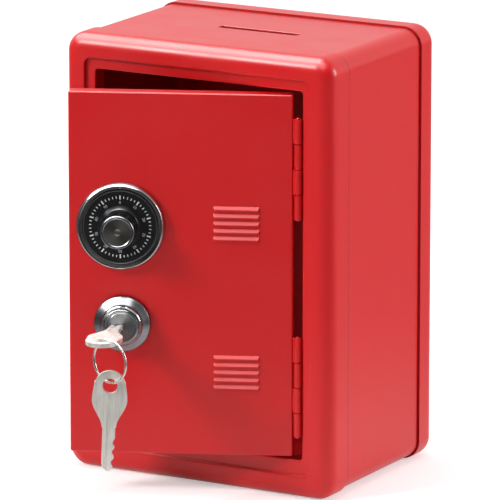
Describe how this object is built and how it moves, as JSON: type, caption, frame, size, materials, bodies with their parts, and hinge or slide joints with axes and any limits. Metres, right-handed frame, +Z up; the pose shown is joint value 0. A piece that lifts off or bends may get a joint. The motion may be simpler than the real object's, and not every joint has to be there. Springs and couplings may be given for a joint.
{
  "type": "toy safe coin bank",
  "caption": "Small red sheet-steel safe used as a coin bank: hinged door ajar, turning number dial, key lock with cam, louvres, coin slot on top and a hanging spare key.",
  "frame": {"origin": "centre of the base, on the face it stands on", "axes": "+Z up, -Y out of the front (the door side), +X towards the hinge side"},
  "size_m": [0.123, 0.155, 0.181],
  "materials": {
    "red_coat": "satin powder coat",
    "red_primer": "satin powder coat, shaded inside",
    "chrome_plate": "polished",
    "black_gloss": "gloss",
    "zinc_steel": "zinc plated",
    "nickel_key": "satin nickel plate",
    "ring_wire": "bright nickel wire"
  },
  "bodies": {
    "cabinet": {"front_frame": "red_coat", "cabinet_sleeve": "red_coat", "back_pan": "red_coat", "door_stop": "red_primer", "upper_hinge_frame_leaf": "red_coat", "lower_hinge_frame_leaf": "red_coat", "upper_hinge_pin": "red_coat", "lower_hinge_pin": "red_coat"},
    "door": {"door_pan": "red_coat", "upper_hinge_door_leaf": "red_coat", "lower_hinge_door_leaf": "red_coat", "dial_bezel": "chrome_plate", "bezel_push_nuts": "zinc_steel", "lock_escutcheon": "chrome_plate", "lock_barrel": "chrome_plate", "lock_washer": "zinc_steel", "lock_nut": "zinc_steel"},
    "dial": {"dial_disc": "black_gloss", "dial_spindle": "zinc_steel", "dial_knob": "black_gloss", "knob_cap": "chrome_plate", "dial_spring_washer": "zinc_steel", "dial_clip": "zinc_steel"},
    "plug": {"lock_plug": "chrome_plate", "lock_cam": "zinc_steel", "cam_washer": "zinc_steel", "cam_screw": "zinc_steel"},
    "inserted_key": {"lock_key": "nickel_key"},
    "ring": {"key_ring": "ring_wire"},
    "hanging_key": {"spare_key": "nickel_key"}
  },
  "joints": [
    {"name": "door_hinge", "type": "hinge", "parent": "cabinet", "child": "door", "pos_m": [0.0459, -0.0436, 0.0905], "axis": [0, 0, 1], "range_deg": [-24, 91]},
    {"name": "dial_turn", "type": "hinge", "parent": "door", "child": "dial", "pos_m": [-0.01903, -0.07207, 0.1108], "axis": [0.4067, -0.9135, 0], "continuous": true},
    {"name": "lock_turn", "type": "hinge", "parent": "door", "child": "plug", "pos_m": [-0.01849, -0.07183, 0.071], "axis": [-0.4067, 0.9135, 0], "range_deg": [0, 90]},
    {"name": "key_slide", "type": "slide", "parent": "plug", "child": "inserted_key", "axis": [0.284, -0.9588, 0], "range_m": [-0.008, 0.012]},
    {"name": "ring_hang", "type": "hinge", "parent": "inserted_key", "child": "ring", "pos_m": [-0.00936, -0.10389, 0.071], "axis": [-0.4067, 0.9135, 0], "range_deg": [-90, 0]},
    {"name": "spare_swing", "type": "hinge", "parent": "ring", "child": "hanging_key", "pos_m": [-0.00492, -0.10489, 0.05541], "axis": [0.9755, -0.2198, 0], "range_deg": [-45, 35]}
  ],
  "couplings": [
    {"joint": "ring_hang", "follows": "lock_turn", "ratio": -1}
  ]
}
